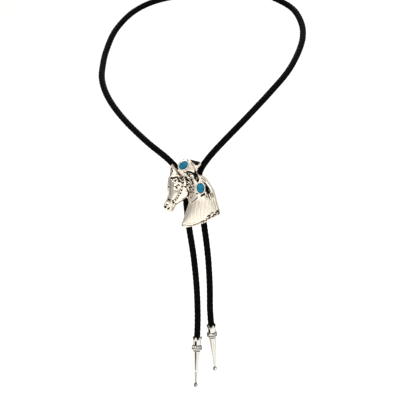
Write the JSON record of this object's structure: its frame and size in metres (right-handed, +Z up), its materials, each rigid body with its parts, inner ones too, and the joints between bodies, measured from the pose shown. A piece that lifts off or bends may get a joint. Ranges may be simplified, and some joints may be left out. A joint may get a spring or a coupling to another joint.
{
  "type": "bolo tie",
  "caption": "Bolo tie: braided leather cord in a neck loop, horse-head slide with two turquoise stones, and a pair of metal cord tips.",
  "frame": {"origin": "the inner side of the cord at the nape, where the loop rests on the back of the neck", "axes": "+Z up, +X to the viewer's right, and the front of the tie faces -Y"},
  "size_m": [0.174, 0.1692, 0.3193],
  "materials": {
    "braided_leather": "black braided leather with a dull wax sheen",
    "antiqued_silver": "cast silver, oxidised dark in the recesses and polished on the high parts",
    "polished_silver": "polished silver-plated metal with dark antiquing in the grooves",
    "clip_metal": "plain bent sheet metal, nickel plated",
    "turquoise": "polished blue turquoise cabochon"
  },
  "bodies": {
    "root": {"bolo_cord": "braided_leather", "horse_head": "antiqued_silver", "turquoise_upper": "turquoise", "turquoise_lower": "turquoise", "slide_clip": "clip_metal", "tip_left": "polished_silver", "tip_right": "polished_silver"}
  },
  "joints": []
}
